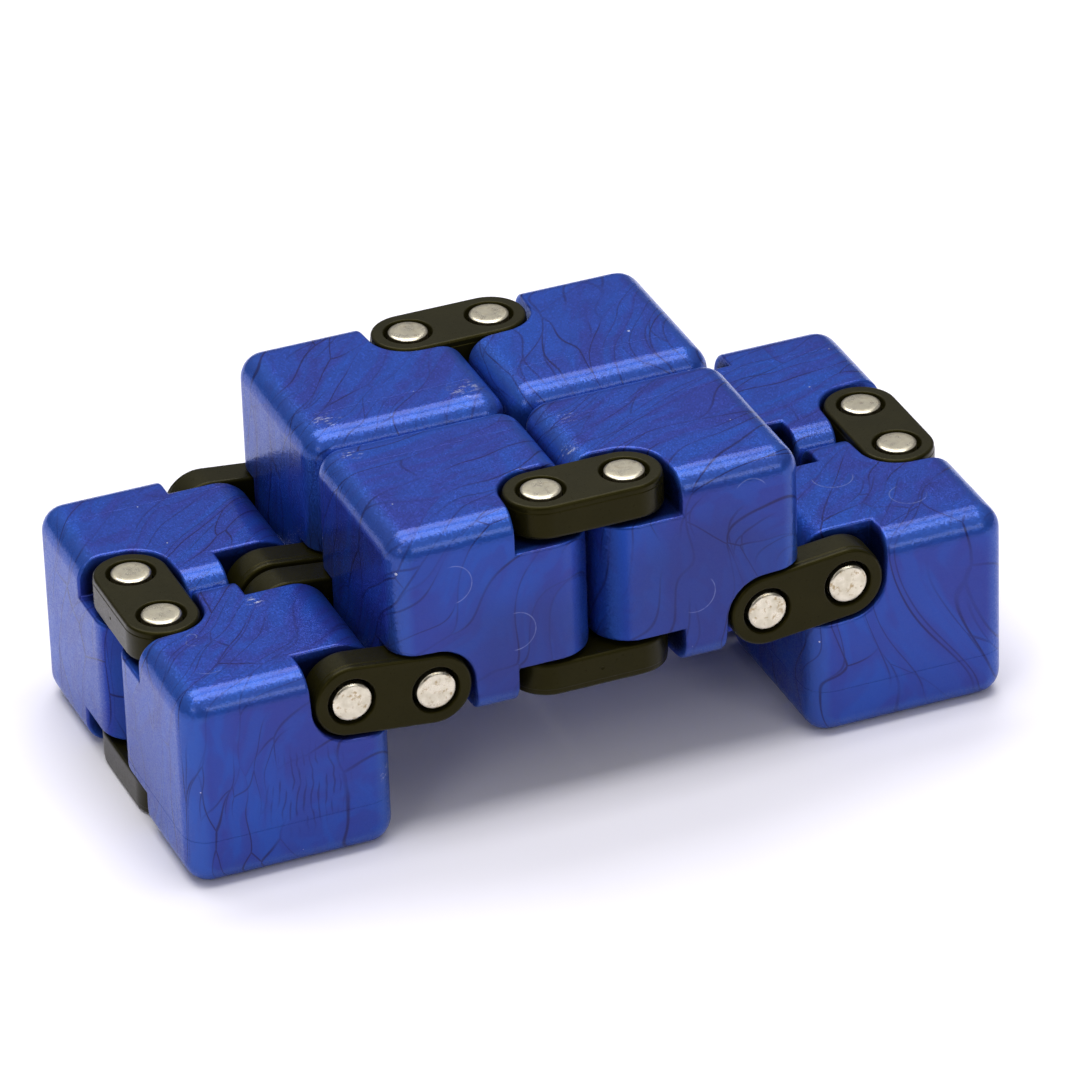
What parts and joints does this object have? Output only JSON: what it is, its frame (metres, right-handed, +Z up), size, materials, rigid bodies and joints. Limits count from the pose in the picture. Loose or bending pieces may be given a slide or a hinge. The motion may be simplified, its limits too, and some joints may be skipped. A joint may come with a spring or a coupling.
{
  "type": "infinity cube",
  "caption": "Fidget toy of small hollow cubes in a closed loop, joined by double-pivot hinges, set up as a bridge whose two end pairs fold under or up beside the raised block.",
  "frame": {"origin": "on the surface that the end pairs stand on, under the middle of the raised block", "axes": "+X along the bridge to the right end pair, +Y to the back, +Z up; the link pins lie along Y and the four upright hinges' pins stand along Z"},
  "size_m": [0.0796, 0.0396, 0.0308],
  "materials": {
    "blue_plastic": "glossy pearl blue ABS with fine sparkle and thin dark purple marbling",
    "black_plastic": "satin black moulded plastic with a slight olive cast",
    "nickel_steel": "bright nickel-plated steel with turned end faces and small brown specks"
  },
  "bodies": {
    "centre_block": {"centre_front_left_shell": "blue_plastic", "centre_front_left_cap": "blue_plastic", "centre_front_right_shell": "blue_plastic", "centre_front_right_cap": "blue_plastic", "centre_back_left_shell": "blue_plastic", "centre_back_left_cap": "blue_plastic", "centre_back_right_shell": "blue_plastic", "centre_back_right_cap": "blue_plastic", "centre_front_hinge_lower_plate": "black_plastic", "centre_front_hinge_upper_plate": "black_plastic", "centre_front_hinge_left_pin": "nickel_steel", "centre_front_hinge_right_pin": "nickel_steel", "centre_back_hinge_lower_plate": "black_plastic", "centre_back_hinge_upper_plate": "black_plastic", "centre_back_hinge_left_pin": "nickel_steel", "centre_back_hinge_right_pin": "nickel_steel"},
    "left_front_link": {"left_front_hinge_outer_plate": "black_plastic", "left_front_hinge_inner_plate": "black_plastic", "left_front_hinge_end_pin": "nickel_steel", "left_front_hinge_centre_pin": "nickel_steel"},
    "left_back_link": {"left_back_hinge_outer_plate": "black_plastic", "left_back_hinge_inner_plate": "black_plastic", "left_back_hinge_end_pin": "nickel_steel", "left_back_hinge_centre_pin": "nickel_steel"},
    "left_end_pair": {"left_front_shell": "blue_plastic", "left_front_cap": "blue_plastic", "left_back_shell": "blue_plastic", "left_back_cap": "blue_plastic", "left_end_hinge_lower_plate": "black_plastic", "left_end_hinge_upper_plate": "black_plastic", "left_end_hinge_front_pin": "nickel_steel", "left_end_hinge_back_pin": "nickel_steel"},
    "right_front_link": {"right_front_hinge_outer_plate": "black_plastic", "right_front_hinge_inner_plate": "black_plastic", "right_front_hinge_end_pin": "nickel_steel", "right_front_hinge_centre_pin": "nickel_steel"},
    "right_back_link": {"right_back_hinge_outer_plate": "black_plastic", "right_back_hinge_inner_plate": "black_plastic", "right_back_hinge_end_pin": "nickel_steel", "right_back_hinge_centre_pin": "nickel_steel"},
    "right_end_pair": {"right_front_shell": "blue_plastic", "right_front_cap": "blue_plastic", "right_back_shell": "blue_plastic", "right_back_cap": "blue_plastic", "right_end_hinge_lower_plate": "black_plastic", "right_end_hinge_upper_plate": "black_plastic", "right_end_hinge_front_pin": "nickel_steel", "right_end_hinge_back_pin": "nickel_steel"}
  },
  "joints": [
    {"name": "left_front_link_swing", "type": "hinge", "parent": "centre_block", "child": "left_front_link", "pos_m": [-0.016, -0.01, 0.01496], "axis": [0, -1, 0], "range_deg": [0, 90]},
    {"name": "left_back_link_swing", "type": "hinge", "parent": "centre_block", "child": "left_back_link", "pos_m": [-0.016, 0.01, 0.01496], "axis": [0, -1, 0], "range_deg": [0, 90]},
    {"name": "left_end_pair_turn", "type": "hinge", "parent": "left_front_link", "child": "left_end_pair", "pos_m": [-0.02396, -0.01, 0.0158], "axis": [0, 1, 0], "range_deg": [0, 90]},
    {"name": "right_front_link_swing", "type": "hinge", "parent": "centre_block", "child": "right_front_link", "pos_m": [0.016, -0.01, 0.01496], "axis": [0, 1, 0], "range_deg": [0, 90]},
    {"name": "right_back_link_swing", "type": "hinge", "parent": "centre_block", "child": "right_back_link", "pos_m": [0.016, 0.01, 0.01496], "axis": [0, 1, 0], "range_deg": [0, 90]},
    {"name": "right_end_pair_turn", "type": "hinge", "parent": "right_front_link", "child": "right_end_pair", "pos_m": [0.02396, -0.01, 0.0158], "axis": [0, -1, 0], "range_deg": [0, 90]}
  ],
  "couplings": [
    {"joint": "left_back_link_swing", "follows": "left_front_link_swing", "ratio": 1},
    {"joint": "right_back_link_swing", "follows": "right_front_link_swing", "ratio": 1}
  ]
}
